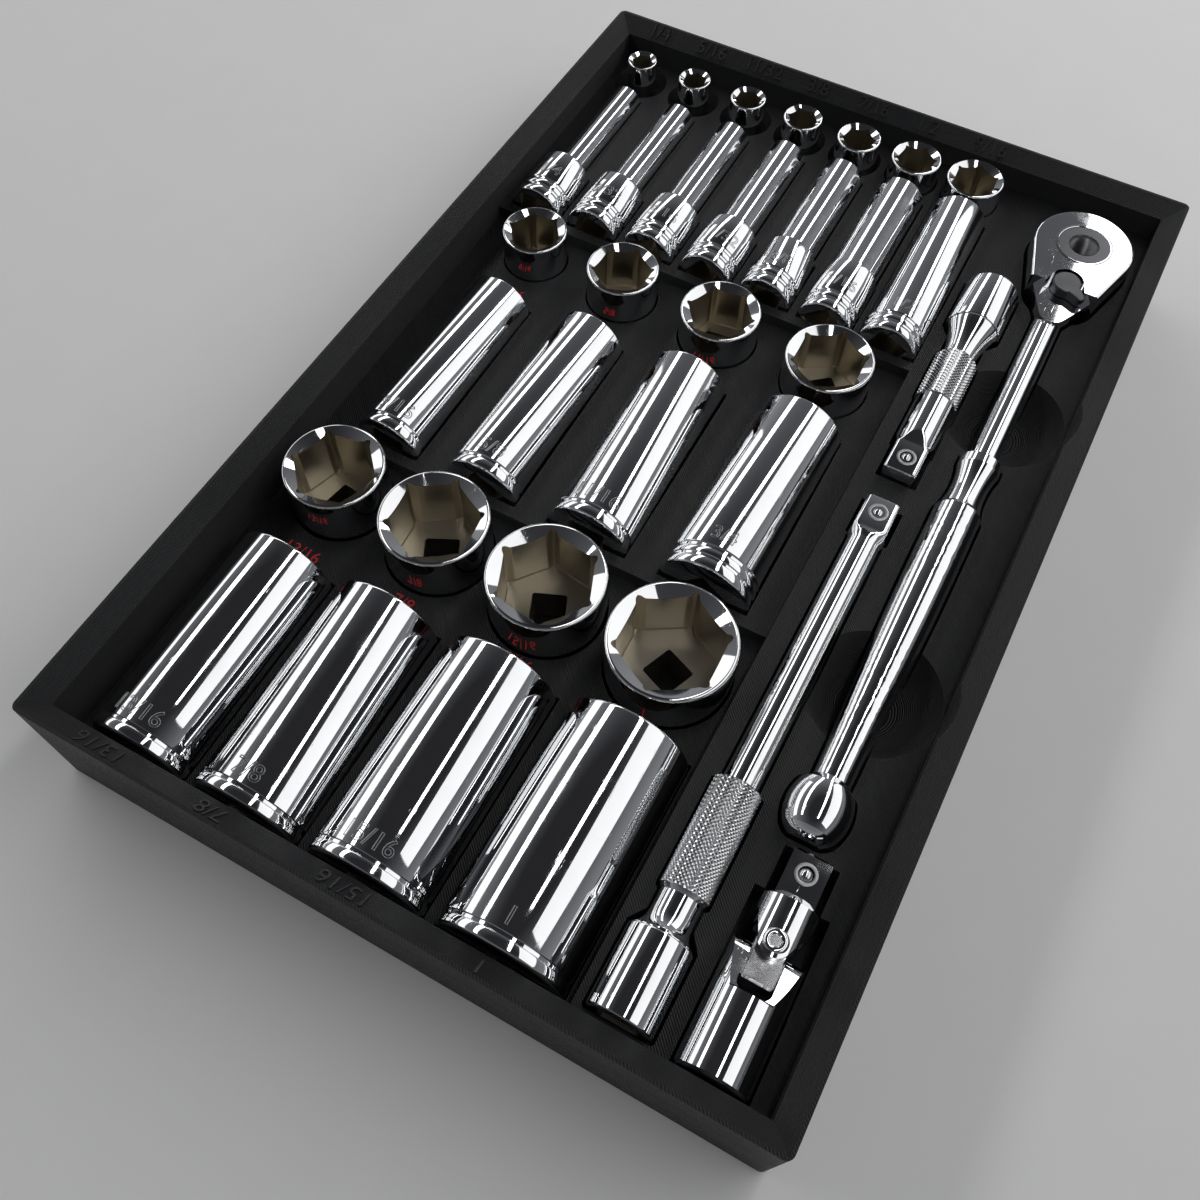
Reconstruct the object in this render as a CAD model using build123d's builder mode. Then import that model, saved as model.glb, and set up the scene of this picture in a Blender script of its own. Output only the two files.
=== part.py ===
"""Socket organizer drawer box: a printed one-piece tray holding a 34-piece 3/8 inch drive socket set.

Frame: origin at the middle of the underside, +X across the tray, +Y along it away from the ratchet's
grip end, +Z up. Millimetres. Places in the tray are measured from its near left outer corner, and
tray_place() turns them into this frame.
"""

from build123d import *
import os
from math import cos, pi, sin, sqrt

os.makedirs("parts", exist_ok=True)

INCH = 25.4

# ---------------------------------------------------------------- driving dimensions: tray
tray_width = 200.0
tray_length = 305.0
tray_height = 38.0
tray_corner_radius = 2.0
rim_width = 6.0
rim_lip_width = 0.8
rim_slope_drop = 3.5
base_edge_chamfer = 0.6

near_deck_z = 19.0
middle_deck_z = 23.0
far_deck_z = 26.5
near_tier_length = 105.0
middle_tier_length = 99.2
socket_field_width = 140.5

recess_gap = 0.3
trough_gap = 0.3
trough_end_gap = 0.7
tool_pocket_gap = 0.6

scoop_radius_on_deck = 17.5
scoop_depth = 11.0
grip_scoop_from_head = 168.3
neck_scoop_from_head = 69.3

# ---------------------------------------------------------------- driving dimensions: sockets
drive_square = 9.6
drive_square_corner = 1.0
drive_square_depth = 11.0
socket_web_top = 12.6
pilot_hole_share = 0.80
deep_bore_share = 0.96
socket_edge = 0.8
socket_groove_from_end = 2.9
socket_groove_width = 0.9
socket_groove_depth = 0.3
drive_end_diameter = 17.0
drive_end_length_deep = 21.0
drive_end_length_shallow = 13.0
hex_corner_relief = 0.055
hex_depth_deep = 22.0
mouth_depth_share = 0.07
through_square_from = 14.0

shallow_top_z = 35.0
small_shallow_length = 26.0
medium_shallow_length = 28.0
large_shallow_length = 31.0
deep_length = 63.0

# name, size across flats in inches, outer diameter, turn of the hexagon, turn of the square
small_sizes = [
    ("1_4", 1 / 4, 10.0, 12, 0),
    ("9_32", 9 / 32, 11.0, 40, 20),
    ("5_16", 5 / 16, 12.0, 28, 65),
    ("11_32", 11 / 32, 13.0, 5, 35),
    ("3_8", 3 / 8, 14.4, 18, 10),
    ("7_16", 7 / 16, 16.2, 20, 50),
    ("1_2", 1 / 2, 18.2, 33, 25),
]
medium_sizes = [
    ("9_16", 9 / 16, 20.0, 6, 10),
    ("5_8", 5 / 8, 22.0, 27, 30),
    ("11_16", 11 / 16, 24.0, 7, 5),
    ("3_4", 3 / 4, 26.0, 31, 40),
]
large_sizes = [
    ("13_16", 13 / 16, 28.0, 13, 80),
    ("7_8", 7 / 8, 30.0, 34, 27),
    ("15_16", 15 / 16, 32.0, 52, 23),
    ("1", 1.0, 34.0, 32, 68),
]

small_first_x = 17.0
small_pitch = 20.0
small_shallow_from_far_wall = 11.1
medium_left_margin = 10.0
medium_gap = 10.2
large_left_margin = 3.7
large_gap = 3.5
shallow_from_step = 1.1
deep_from_step = 4.0
deep_from_near_wall = 2.0

# ---------------------------------------------------------------- driving dimensions: drive tools
extension_from_field = 10.9
ratchet_from_field = 29.7
joint_from_field = 33.3
male_square = 9.5
male_square_chamfer = 0.7
male_square_length = 11.0
detent_ball_radius = 1.9
detent_ball_proud = 0.5
detent_ball_from_end = 5.2
detent_bore_gap = 0.05
detent_bore_depth = 4.6
detent_spring_radius = 1.4
detent_spring_reach = 1.6
spring_wire = 0.4
spring_turns = 4
female_diameter = 16.5
female_bore_depth = 12.0
knurl_diameter = 12.6
long_shaft_diameter = 9.3
short_shaft_diameter = 11.6
extension_neck_diameter = 10.6
long_extension_length = 152.4
short_extension_length = 80.5
long_knurl_from_end = 91.8
long_knurl_length = 29.0
long_female_length = 20.6
short_knurl_from_end = 30.0
short_knurl_length = 18.0
short_female_length = 19.0
extension_from_near_wall = 2.4
extension_spacing = 10.4

joint_from_near_wall = 1.2
joint_length = 54.2
joint_barrel_diameter = 17.6
joint_yoke_diameter = 14.4
joint_block_width = 8.0
joint_block_round = 3.6
joint_pin_diameter = 4.4
joint_ear_gap = 0.12
joint_pin_gap = 0.05
joint_side_pin_from_end = 25.8
joint_top_pin_from_end = 31.8
joint_ear_radius = 4.8
joint_tongue_radius = 3.8
joint_shoulder_from_pin = 7.5
joint_yoke_slot_from_pin = 5.4
joint_slot_floor = 18.6
joint_slot_corner = 2.4
joint_swing_room = 2.1

head_from_far_wall = 22.7
head_radius = 15.2
head_top_above_deck = 8.0
head_thickness = 14.0
head_waist_radius = 11.0
head_waist_from_centre = 16.0
head_step_from_centre = 19.5
root_radius = 9.5
root_end_from_centre = 28.0
root_height_above_axis = 4.7
head_edge_round = 1.0
lever_from_centre = 17.2
gear_outer_radius = 10.3
gear_tooth_depth = 0.55
gear_teeth = 72
gear_cavity_gap = 0.35
gear_boss_radius = 7.8
gear_shaft_radius = 7.2
running_gap = 0.08
head_roof = 3.5
cover_thickness = 2.0
cover_radius = 12.6
cover_waist_radius = 7.4
pawl_radius = 6.5
pawl_tooth_gap = 0.9
notch_radius = 4.9
notch_depth = 3.2
notch_mouth_radius = 6.5
notch_mouth_from_centre = 22.5
lever_disc_radius = 4.4
lever_tab_radius = 1.5
lever_stem_radius = 2.2
lever_tab_length = 8.2
lever_turn = -38.0
button_radius = 4.5
button_stem_radius = 1.6
button_recess = 5.2
button_spring_height = 3.8
button_tip_above_ball = 4.1
button_dome = 1.5
screw_radius = 1.1
screw_head_radius = 1.9
screw_spacing_x = 14.4
screw_from_centre = 12.2
ratchet_length_from_head = 212.0
neck_radius = 4.2
collar_radius = 6.0
grip_radius = 6.6
waist_radius = 4.9
grip_ball_radius = 8.3

# ---------------------------------------------------------------- worked-out places
rim_inner_z = tray_height - rim_slope_drop
inner_width = tray_width - 2 * rim_width
inner_length = tray_length - 2 * rim_width
near_wall_y = rim_width
first_step_y = near_wall_y + near_tier_length
second_step_y = first_step_y + middle_tier_length
far_wall_y = tray_length - rim_width
field_right_x = rim_width + socket_field_width
tool_axis_z = far_deck_z

extension_x = field_right_x + extension_from_field
ratchet_x = field_right_x + ratchet_from_field
joint_x = field_right_x + joint_from_field
long_extension_y = near_wall_y + extension_from_near_wall
short_extension_y = long_extension_y + long_extension_length + extension_spacing
joint_y = near_wall_y + joint_from_near_wall
head_y = far_wall_y - head_from_far_wall
head_top_z = far_deck_z + head_top_above_deck
head_bottom_z = head_top_z - head_thickness


def tray_place(x, y, z):
    """A point measured from the near left outer corner, in the part's frame."""
    return Vector(x - tray_width / 2, y - tray_length / 2, z)


def upright(x, y, z):
    """A plane facing up, for a socket that stands on its drive end."""
    return Plane(origin=tray_place(x, y, z), x_dir=(1, 0, 0), z_dir=(0, 0, 1))


def lying(x, y, z):
    """A plane facing the far wall, for a piece that lies along the tray with its axis at this point."""
    return Plane(origin=tray_place(x, y, z), x_dir=(1, 0, 0), z_dir=(0, 1, 0))


def lying_back(x, y, z):
    """A plane facing the near wall, for a piece that lies the other way round."""
    return Plane(origin=tray_place(x, y, z), x_dir=(1, 0, 0), z_dir=(0, -1, 0))


def section_plane(seat):
    """The plane through a seat's axis in which a turned profile is drawn: u is radius, v is height."""
    return Plane(origin=seat.origin, x_dir=seat.x_dir, z_dir=-seat.y_dir)


def axis_of(seat):
    return Axis(seat.origin, seat.z_dir)


def save(piece, name):
    piece.part.label = name
    export_step(piece.part, f"parts/{name}.step")


# ---------------------------------------------------------------- rows of sockets
def spread(sizes, first_left_x, gap):
    """Centre lines of a row whose sockets stand a fixed gap apart."""
    places = []
    left = first_left_x
    for _, _, diameter, _, _ in sizes:
        places.append(left + diameter / 2)
        left += diameter + gap
    return places


small_x = [small_first_x + small_pitch * index for index in range(len(small_sizes))]
medium_x = spread(medium_sizes, rim_width + medium_left_margin, medium_gap)
large_x = spread(large_sizes, rim_width + large_left_margin, large_gap)

# each row: sizes, centre lines, deck height, shallow length, where its shallow sockets stand, where its
# deep sockets begin
small_row_y = far_wall_y - small_shallow_from_far_wall
rows = [
    (large_sizes, large_x, near_deck_z, large_shallow_length, None, first_step_y - shallow_from_step,
     near_wall_y + deep_from_near_wall),
    (medium_sizes, medium_x, middle_deck_z, medium_shallow_length, None, second_step_y - shallow_from_step,
     first_step_y + deep_from_step),
    (small_sizes, small_x, far_deck_z, small_shallow_length, small_row_y, None,
     second_step_y + deep_from_step),
]

sockets = []
for sizes, centres, deck_z, shallow_length, shallow_y, shallow_far_side, deep_y in rows:
    for (name, inches, diameter, hex_turn, square_turn), x in zip(sizes, centres):
        drive_diameter = max(diameter, drive_end_diameter)
        y = shallow_y if shallow_y else shallow_far_side - drive_diameter / 2
        flats = inches * INCH
        sockets.append(
            dict(name=f"shallow_socket_{name}", seat=upright(x, y, shallow_top_z - shallow_length),
                 flats=flats, diameter=diameter, drive_diameter=drive_diameter, length=shallow_length,
                 drive_length=drive_end_length_shallow, hex_depth=shallow_length - socket_web_top,
                 hex_turn=hex_turn, square_turn=square_turn, deep=False))
        sockets.append(
            dict(name=f"deep_socket_{name}", seat=lying(x, deep_y, deck_z),
                 flats=flats, diameter=diameter, drive_diameter=drive_diameter, length=deep_length,
                 drive_length=drive_end_length_deep, hex_depth=hex_depth_deep,
                 hex_turn=hex_turn, square_turn=square_turn, deep=True))


def socket_outline(spec, gap=0.0, end_gap=0.0, grooved=True):
    """Half of a socket's turned outline, or of the pocket it lies in when a gap is given."""
    drive_radius = spec["drive_diameter"] / 2 + gap
    hex_radius = spec["diameter"] / 2 + gap
    top = spec["length"] + end_gap
    edge = socket_edge if grooved else 0.01
    groove_start = socket_groove_from_end
    groove_end = groove_start + socket_groove_width
    points = [(0, -end_gap), (drive_radius - edge, -end_gap), (drive_radius, edge - end_gap)]
    if grooved:
        points += [(drive_radius, groove_start), (drive_radius - socket_groove_depth, groove_start)]
        points += [(drive_radius - socket_groove_depth, groove_end), (drive_radius, groove_end)]
    if drive_radius > hex_radius:
        shoulder = spec["drive_length"] + 2 * gap
        taper = drive_radius - hex_radius
        points += [(drive_radius, shoulder - taper / 3), (hex_radius, shoulder + taper / 3)]
    points += [(hex_radius, top - edge), (hex_radius - edge, top), (0, top)]
    return points


def make_socket(spec):
    seat = spec["seat"]
    flats = spec["flats"]
    length = spec["length"]
    hex_floor = length - spec["hex_depth"]
    corner_radius = flats / sqrt(3)
    relief = flats * hex_corner_relief
    mouth_depth = flats * mouth_depth_share + 0.4
    mouth_radius = min(corner_radius + relief, spec["diameter"] / 2 - 0.6)
    with BuildPart() as socket:
        with BuildSketch(section_plane(seat)):
            with BuildLine():
                Polyline(*socket_outline(spec), close=True)
            make_face()
        revolve(axis=axis_of(seat))
        # six-point recess with rounded corner reliefs
        with BuildSketch(seat.offset(hex_floor)):
            RegularPolygon(flats / 2, 6, major_radius=False, rotation=spec["hex_turn"])
            with PolarLocations(corner_radius - relief, 6, start_angle=spec["hex_turn"]):
                Circle(relief * 1.25)
        extrude(amount=spec["hex_depth"], mode=Mode.SUBTRACT)
        # coned mouth that leads a nut in
        with BuildSketch(section_plane(seat)):
            with BuildLine():
                Polyline((0, length - mouth_depth), (flats / 2, length - mouth_depth),
                         (mouth_radius, length), (0, length), close=True)
            make_face()
        revolve(axis=axis_of(seat), mode=Mode.SUBTRACT)
        if spec["deep"]:
            with BuildSketch(seat.offset(socket_web_top)):
                Circle(flats / 2 * deep_bore_share)
            extrude(amount=hex_floor - socket_web_top, mode=Mode.SUBTRACT)
        # drive square, open right through where the recess is wide enough for it
        square_depth = socket_web_top if flats >= through_square_from else drive_square_depth
        with BuildSketch(seat):
            RectangleRounded(drive_square, drive_square, drive_square_corner, rotation=spec["square_turn"])
        extrude(amount=square_depth, mode=Mode.SUBTRACT)
        if flats < through_square_from:
            with BuildSketch(seat.offset(drive_square_depth)):
                Circle(min(flats, drive_square) / 2 * pilot_hole_share)
            extrude(amount=socket_web_top - drive_square_depth, mode=Mode.SUBTRACT)
    return socket


for spec in sockets:
    save(make_socket(spec), spec["name"])

# ---------------------------------------------------------------- extensions
knurl_radius = knurl_diameter / 2
female_radius = female_diameter / 2
neck_end_radius = extension_neck_diameter / 2


def extension_outline(length, shaft_diameter, knurl_start, knurl_length, female_length, gap=0.0):
    """Half outline of an extension from its male end at 0 to its drive socket, with the gap of a pocket."""
    shaft_radius = shaft_diameter / 2
    top = length + gap
    female_start = length - female_length - gap
    return [
        (0, male_square_length),
        (shaft_radius + gap, male_square_length),
        (shaft_radius + gap, knurl_start - gap),
        (knurl_radius + gap, knurl_start - gap + 0.6),
        (knurl_radius + gap, knurl_start + knurl_length + gap),
        (neck_end_radius + gap, knurl_start + knurl_length + gap + 0.8),
        (neck_end_radius + gap, female_start - 4.0),
        (female_radius + gap, female_start),
        (female_radius + gap, top - 0.6),
        (female_radius + gap - 0.6, top),
        (0, top),
    ]


def spring_coil(seat, radius, height):
    """A small coil spring on a seat's axis, standing on the seat."""
    pitch = (height - spring_wire) / spring_turns
    path = Helix(pitch=pitch, height=pitch * spring_turns, radius=radius - spring_wire / 2)
    placed = seat.location * Pos(0, 0, spring_wire / 2) * path
    start = Plane(origin=placed @ 0, z_dir=placed % 0)
    with BuildPart() as coil:
        with BuildSketch(start):
            Circle(spring_wire / 2)
        sweep(path=placed)
    return coil


def ball(seat, radius):
    with BuildPart() as sphere:
        with BuildSketch(section_plane(seat)):
            with BuildLine():
                CenterArc((0, 0), radius, -90, 180)
                Line((0, radius), (0, -radius))
            make_face()
        revolve(axis=axis_of(seat))
    return sphere


def detent_seat(seat):
    """Where a detent ball sits in a male square: its plane faces out of the square's top flat."""
    centre = seat.origin + seat.z_dir * detent_ball_from_end
    ball_height = male_square / 2 - detent_ball_radius + detent_ball_proud
    return Plane(origin=centre + Vector(0, 0, ball_height), x_dir=(1, 0, 0), z_dir=(0, 0, 1))


def detent_floor(seat):
    """The floor of the blind hole in a male square that holds its spring and ball."""
    return detent_seat(seat).offset(-detent_bore_depth)


def save_detent(seat, name):
    save(ball(detent_seat(seat), detent_ball_radius), f"{name}_detent_ball")
    height = detent_bore_depth - detent_spring_reach
    save(spring_coil(detent_floor(seat), detent_spring_radius, height), f"{name}_detent_spring")


def make_extension(seat, shape):
    length = shape["length"]
    with BuildPart() as extension:
        with BuildSketch(section_plane(seat)):
            with BuildLine():
                Polyline(*extension_outline(**shape), close=True)
            make_face()
        revolve(axis=axis_of(seat))
        with BuildSketch(seat):
            Rectangle(male_square, male_square)
        extrude(amount=male_square_length + 4.0)
        chamfer(extension.faces().group_by(Axis(seat.origin, seat.z_dir))[0].edges(), male_square_chamfer)
        with BuildSketch(seat.offset(length - female_bore_depth)):
            RectangleRounded(drive_square, drive_square, drive_square_corner)
        extrude(amount=female_bore_depth, mode=Mode.SUBTRACT)
        with BuildSketch(detent_floor(seat)):
            Circle(detent_ball_radius + detent_bore_gap)
        extrude(amount=detent_bore_depth + detent_ball_radius, mode=Mode.SUBTRACT)
    return extension


long_shape = dict(length=long_extension_length, shaft_diameter=long_shaft_diameter,
                  knurl_start=long_knurl_from_end, knurl_length=long_knurl_length,
                  female_length=long_female_length)
short_shape = dict(length=short_extension_length, shaft_diameter=short_shaft_diameter,
                   knurl_start=short_knurl_from_end, knurl_length=short_knurl_length,
                   female_length=short_female_length)
long_seat = lying_back(extension_x, long_extension_y + long_extension_length, tool_axis_z)
short_seat = lying(extension_x, short_extension_y, tool_axis_z)
save(make_extension(long_seat, long_shape), "long_extension")
save(make_extension(short_seat, short_shape), "short_extension")
save_detent(long_seat, "long_extension")
save_detent(short_seat, "short_extension")

# ---------------------------------------------------------------- universal joint
barrel_radius = joint_barrel_diameter / 2
yoke_radius = joint_yoke_diameter / 2
pin_radius = joint_pin_diameter / 2
block_half = joint_block_width / 2
ear_inner = block_half + joint_ear_gap
pin_bore_radius = pin_radius + joint_pin_gap
joint_seat = lying(joint_x, joint_y, tool_axis_z)
joint_male_seat = lying_back(joint_x, joint_y + joint_length, tool_axis_z)
side_pin_seat = Plane(origin=joint_seat.origin + joint_seat.z_dir * joint_side_pin_from_end,
                      x_dir=(0, 1, 0), z_dir=(1, 0, 0))
top_pin_seat = Plane(origin=joint_seat.origin + joint_seat.z_dir * joint_top_pin_from_end,
                     x_dir=(0, 1, 0), z_dir=(0, 0, 1))
side_ear_end = joint_side_pin_from_end + joint_ear_radius
top_pin_to_end = joint_length - joint_top_pin_from_end

with BuildPart() as female_yoke:
    # barrel and two ears left and right, turned in one piece and slotted for the centre block
    with BuildSketch(joint_seat):
        Circle(barrel_radius)
    extrude(amount=side_ear_end)
    chamfer(female_yoke.edges().filter_by(GeomType.CIRCLE), 0.6)
    with BuildSketch(side_pin_seat):
        Circle(joint_ear_radius)
        with Locations((joint_slot_floor - joint_side_pin_from_end, 0)):
            Rectangle(1.0, 2 * yoke_radius)
        make_hull()
        with Locations((joint_slot_floor / 2 - joint_side_pin_from_end, 0)):
            Rectangle(joint_slot_floor, 2 * barrel_radius)
        Circle(pin_bore_radius, mode=Mode.SUBTRACT)
    extrude(amount=barrel_radius + 1, both=True, mode=Mode.INTERSECT)
    with BuildSketch(upright(joint_x, joint_y + joint_slot_floor + side_ear_end / 2, tool_axis_z)):
        RectangleRounded(2 * ear_inner, side_ear_end, joint_slot_corner)
    extrude(amount=barrel_radius + 1, both=True, mode=Mode.SUBTRACT)
    with BuildSketch(joint_seat):
        RectangleRounded(drive_square, drive_square, drive_square_corner)
    extrude(amount=female_bore_depth, mode=Mode.SUBTRACT)
save(female_yoke, "joint_female_yoke")

with BuildPart() as male_yoke:
    # body and two ears above and below, slotted for the centre block, with the male square on its end
    with BuildSketch(joint_male_seat.offset(male_square_length)):
        Circle(yoke_radius)
    extrude(amount=top_pin_to_end - male_square_length + joint_tongue_radius)
    chamfer(male_yoke.faces().sort_by(Axis.Y)[-1].edges(), 1.4)
    with BuildSketch(top_pin_seat):
        Circle(joint_tongue_radius)
        with Locations(((joint_shoulder_from_pin + top_pin_to_end) / 2, 0)):
            Rectangle(top_pin_to_end - joint_shoulder_from_pin, 2 * yoke_radius)
        make_hull()
    extrude(amount=yoke_radius + 1, both=True, mode=Mode.INTERSECT)
    with BuildSketch(joint_male_seat.offset(top_pin_to_end - joint_yoke_slot_from_pin)):
        Rectangle(2 * yoke_radius + 2, 2 * ear_inner)
    extrude(amount=top_pin_to_end, mode=Mode.SUBTRACT)
    with BuildSketch(top_pin_seat):
        Circle(pin_bore_radius)
    extrude(amount=yoke_radius + 1, both=True, mode=Mode.SUBTRACT)
    with BuildSketch(joint_male_seat):
        Rectangle(male_square, male_square)
    extrude(amount=male_square_length + 1.0)
    chamfer(male_yoke.faces().sort_by(Axis.Y)[-1].edges(), male_square_chamfer)
    with BuildSketch(detent_floor(joint_male_seat)):
        Circle(detent_ball_radius + detent_bore_gap)
    extrude(amount=detent_bore_depth + detent_ball_radius, mode=Mode.SUBTRACT)
save(male_yoke, "joint_male_yoke")
save_detent(joint_male_seat, "joint")

with BuildPart() as block:
    with BuildSketch(joint_seat.offset(joint_side_pin_from_end - joint_block_round)):
        Rectangle(joint_block_width, joint_block_width)
    extrude(amount=joint_top_pin_from_end - joint_side_pin_from_end + 2 * joint_block_round)
    chamfer(block.edges(), 0.5)
    with BuildSketch(top_pin_seat):
        Circle(pin_radius)
    extrude(amount=joint_block_width, both=True, mode=Mode.SUBTRACT)
    with BuildSketch(side_pin_seat):
        Circle(pin_radius)
    extrude(amount=joint_block_width, both=True, mode=Mode.SUBTRACT)
save(block, "joint_block")


def make_pin(seat, reach):
    """A headless pin pressed through the block, its ends just under the ears' outer faces."""
    with BuildPart() as pin:
        with BuildSketch(seat):
            Circle(pin_radius)
        extrude(amount=reach, both=True)
        chamfer(pin.edges().filter_by(GeomType.CIRCLE), 0.3)
    return pin


save(make_pin(top_pin_seat, yoke_radius - 0.4), "joint_top_pin")
save(make_pin(side_pin_seat, barrel_radius - 0.6), "joint_side_pin")

# ---------------------------------------------------------------- ratchet
head_floor = upright(ratchet_x, head_y, head_bottom_z)
handle_seat = lying_back(ratchet_x, head_y, tool_axis_z)
root_top_z = tool_axis_z + root_height_above_axis
gear_bottom = cover_thickness + running_gap
gear_top = head_thickness - head_roof - running_gap
notch_floor = head_thickness - notch_depth
pawl_bottom = cover_thickness + running_gap
pawl_top = notch_floor - 2.4
anvil_seat = Plane(origin=head_floor.origin - Vector(0, 0, male_square_length),
                   x_dir=(1, 0, 0), z_dir=(0, 0, 1))


def teardrop(near_radius, far_radius, far_distance):
    """Outline round two circles, the far one toward the handle; drawn in the sketch that is open."""
    Circle(near_radius)
    with Locations((0, -far_distance)):
        Circle(far_radius)
    make_hull()


# handle: stations from the head's centre toward the ball end
neck_end = 88.2
collar_ring_end = 92.0
collar_waist = 99.0
collar_end = 107.0
grip_start = 108.2
grip_middle = 150.0
grip_waist = 195.5
collar_waist_radius = 5.0
grip_middle_radius = 6.3
ball_flat_radius = 4.0


def handle_outline(gap=0.0):
    """Half outline of the neck, collar, grip and ball end; drawn in the line builder that is open."""
    end = ratchet_length_from_head + gap
    waist = waist_radius + gap
    ball_out = grip_ball_radius + gap
    start = Line((0, 12.0), (neck_radius + gap, 12.0))
    neck = Line(start @ 1, (neck_radius + gap, neck_end - gap))
    ring_on = Line(neck @ 1, (collar_radius + gap, neck_end + 0.8 - gap))
    ring = Line(ring_on @ 1, (collar_radius + gap, collar_ring_end))
    dip_middle = (collar_waist_radius + gap, collar_waist)
    dip = ThreePointArc(ring @ 1, dip_middle, (collar_radius + gap, collar_end))
    step = Line(dip @ 1, (grip_radius + gap, grip_start))
    grip = Spline(step @ 1, (grip_middle_radius + gap, grip_middle), (waist, grip_waist),
                  tangents=((0, 1), (0, 1)))
    swell = Line(grip @ 1, (ball_out * 0.86, grip_waist + 2.2 - gap))
    round_on = ThreePointArc(swell @ 1, (ball_out, (grip_waist + end) / 2), (ball_out * 0.80, end - 2.2))
    round_off = ThreePointArc(round_on @ 1, (ball_out * 0.62, end - 0.7), (ball_flat_radius, end))
    close_end = Line(round_off @ 1, (0, end))
    Line(close_end @ 1, (0, 12.0))


with BuildPart() as ratchet_body:
    with BuildSketch(head_floor):
        teardrop(head_radius, head_waist_radius, head_waist_from_centre)
    extrude(amount=head_thickness)
    fillet(ratchet_body.faces().sort_by(Axis.Z)[-1].edges(), head_edge_round)
    with BuildSketch(head_floor):
        with Locations((0, -head_step_from_centre - head_waist_radius)):
            Rectangle(2 * head_radius, 2 * head_waist_radius)
    extrude(amount=head_thickness + 1, mode=Mode.SUBTRACT)
    with BuildSketch(head_floor):
        with Locations((0, -head_waist_from_centre)):
            Circle(root_radius)
        with Locations((0, -root_end_from_centre)):
            Circle(neck_radius)
        make_hull()
    extrude(amount=root_top_z - head_bottom_z)
    with BuildSketch(section_plane(handle_seat)):
        with BuildLine():
            handle_outline()
        make_face()
    revolve(axis=axis_of(handle_seat))
    # shallow notch that the reversing lever lies in, its floor level with the neck's root
    with BuildSketch(head_floor.offset(notch_floor)):
        with Locations((0, -lever_from_centre)):
            Circle(notch_radius)
        with Locations((0, -notch_mouth_from_centre)):
            Circle(notch_mouth_radius)
        make_hull()
    extrude(amount=notch_depth + 1, mode=Mode.SUBTRACT)
    # gear and pawl cavity, open toward the drive side, and the cover's seat
    with BuildSketch(head_floor):
        Circle(gear_outer_radius + gear_cavity_gap)
    extrude(amount=gear_top + running_gap, mode=Mode.SUBTRACT)
    with BuildSketch(head_floor):
        with Locations((0, -lever_from_centre)):
            Circle(pawl_radius + gear_cavity_gap)
    extrude(amount=pawl_top + running_gap, mode=Mode.SUBTRACT)
    with BuildSketch(head_floor):
        teardrop(cover_radius, cover_waist_radius, lever_from_centre)
    extrude(amount=cover_thickness, mode=Mode.SUBTRACT)
    with BuildSketch(head_floor):
        Circle(gear_boss_radius + running_gap)
    extrude(amount=head_thickness + 1, mode=Mode.SUBTRACT)
    with BuildSketch(head_floor):
        with Locations((0, -lever_from_centre)):
            Circle(lever_stem_radius + running_gap)
        with Locations((-screw_spacing_x / 2, -screw_from_centre), (screw_spacing_x / 2, -screw_from_centre)):
            Circle(screw_radius)
    extrude(amount=notch_floor + 0.5, mode=Mode.SUBTRACT)
save(ratchet_body, "ratchet_body")

with BuildPart() as cover:
    with BuildSketch(head_floor):
        teardrop(cover_radius - running_gap, cover_waist_radius - running_gap, lever_from_centre)
        Circle(gear_shaft_radius + running_gap, mode=Mode.SUBTRACT)
        with Locations((-screw_spacing_x / 2, -screw_from_centre), (screw_spacing_x / 2, -screw_from_centre)):
            Circle(screw_head_radius, mode=Mode.SUBTRACT)
    extrude(amount=cover_thickness)
save(cover, "head_cover")

with BuildPart() as screws:
    with BuildSketch(head_floor):
        with Locations((-screw_spacing_x / 2, -screw_from_centre), (screw_spacing_x / 2, -screw_from_centre)):
            Circle(screw_head_radius)
    extrude(amount=cover_thickness)
    with BuildSketch(head_floor.offset(cover_thickness)):
        with Locations((-screw_spacing_x / 2, -screw_from_centre), (screw_spacing_x / 2, -screw_from_centre)):
            Circle(screw_radius)
    extrude(amount=5.0)
save(screws, "cover_screws")

tooth_points = []
for index in range(2 * gear_teeth):
    radius = gear_outer_radius - (gear_tooth_depth if index % 2 else 0.0)
    angle = pi * index / gear_teeth
    tooth_points.append((radius * cos(angle), radius * sin(angle)))

with BuildPart() as gear:
    with BuildSketch(head_floor.offset(gear_bottom)):
        with BuildLine():
            Polyline(*tooth_points, close=True)
        make_face()
    extrude(amount=gear_top - gear_bottom)
    with BuildSketch(head_floor.offset(gear_top)):
        Circle(gear_boss_radius)
    extrude(amount=head_thickness - gear_top - 0.1)
    with BuildSketch(head_floor):
        Circle(gear_shaft_radius)
    extrude(amount=gear_bottom)
    with BuildSketch(anvil_seat):
        Rectangle(male_square, male_square)
    extrude(amount=male_square_length)
    chamfer(gear.faces().sort_by(Axis.Z)[0].edges(), male_square_chamfer)
    # stepped bore for the quick-release button, its stem and spring
    with BuildSketch(anvil_seat.offset(2.0)):
        Circle(button_stem_radius + running_gap)
    extrude(amount=male_square_length + head_thickness, mode=Mode.SUBTRACT)
    with BuildSketch(head_floor.offset(head_thickness - button_recess)):
        Circle(button_radius + running_gap)
    extrude(amount=button_recess + 1, mode=Mode.SUBTRACT)
    # side hole for the ball that holds a socket on
    with BuildSketch(Plane(origin=anvil_seat.origin + Vector(0, 0, detent_ball_from_end),
                           x_dir=(1, 0, 0), z_dir=(0, 1, 0))):
        Circle(detent_ball_radius + detent_bore_gap)
    extrude(amount=male_square, mode=Mode.SUBTRACT)
save(gear, "drive_gear")

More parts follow.
